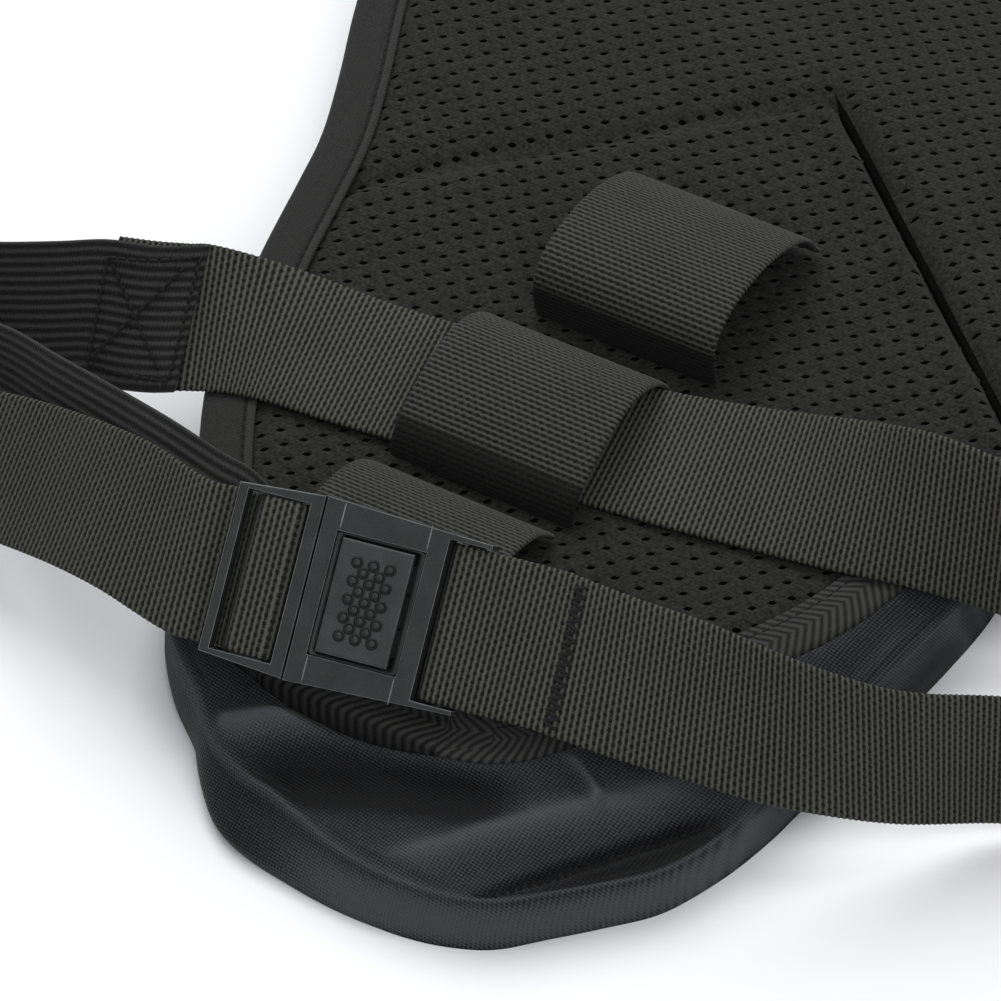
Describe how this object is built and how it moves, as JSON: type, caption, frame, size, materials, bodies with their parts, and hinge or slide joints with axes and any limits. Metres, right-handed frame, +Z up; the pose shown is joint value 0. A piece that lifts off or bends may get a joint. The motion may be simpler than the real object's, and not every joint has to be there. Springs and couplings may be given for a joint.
{
  "type": "safety harness vest",
  "caption": "Padded harness vest laid flat, mesh side up: back panel with belt loops, waist belt with centre-push buckle, lower pouch and shoulder straps.",
  "frame": {"origin": "on the flat face panel of the lower pouch, which the vest rests on", "axes": "+Z up from the table, out of the mesh lining; +Y along the spine towards the neck; +X to the right"},
  "size_m": [0.4972, 0.5481, 0.0673],
  "materials": {
    "spacer_mesh": "open hexagonal spacer mesh, matt black",
    "foam": "closed-cell foam, hidden",
    "shell_fabric": "plain-weave nylon, matt black",
    "binding_tape": "twill tape with a herringbone weave",
    "loop_webbing": null,
    "belt_webbing": "38 mm polypropylene webbing with fine cross ribs",
    "ribbed_elastic": "woven elastic with ribs along its length",
    "buckle_plastic": "moulded acetal, satin",
    "spring_steel": "tempered strip",
    "pouch_nylon": "oxford nylon with a slight sheen",
    "padding": "soft filling, hidden",
    "shoulder_fabric": "spacer mesh over foam, bound edges",
    "strap_webbing": "25 mm polypropylene webbing"
  },
  "bodies": {
    "vest": {"mesh_liner": "spacer_mesh", "back_foam": "foam", "outer_shell": "shell_fabric", "edge_binding_left": "binding_tape", "edge_binding_right": "binding_tape", "hem_tape": "binding_tape", "neck_binding": "binding_tape", "belt_loop_bottom": "loop_webbing", "belt_loop_middle": "loop_webbing", "belt_loop_top": "loop_webbing", "housing_top": "buckle_plastic", "housing_bottom": "buckle_plastic", "button_spring": "spring_steel", "waist_belt": "belt_webbing", "side_elastic": "ribbed_elastic", "pouch_face": "pouch_nylon", "pouch_filling": "padding", "pouch_back": "pouch_nylon", "pouch_gusset": "pouch_nylon", "pouch_piping_lower": "binding_tape", "pouch_piping_upper": "binding_tape", "grab_handle": "strap_webbing", "shoulder_pad_left": "shoulder_fabric", "strap_webbing_left": "strap_webbing", "ladder_lock_left": "buckle_plastic", "side_tab_left": "strap_webbing", "shoulder_pad_right": "shoulder_fabric", "strap_webbing_right": "strap_webbing", "ladder_lock_right": "buckle_plastic", "side_tab_right": "strap_webbing"},
    "button": {"push_button": "buckle_plastic"},
    "tongue_side": {"tongue": "buckle_plastic", "adjuster_strap": "belt_webbing"}
  },
  "joints": [
    {"name": "button_press", "type": "slide", "parent": "vest", "child": "button", "axis": [-0.2092, 0.6614, -0.7203], "range_m": [0, 0.002], "stiffness_N_per_m": 600, "deforming": ["button_spring"]},
    {"name": "tongue_release", "type": "slide", "parent": "vest", "child": "tongue_side", "axis": [-0.9695, -0.2363, 0.0645], "range_m": [0, 0.03], "deforming": ["side_elastic"]}
  ]
}
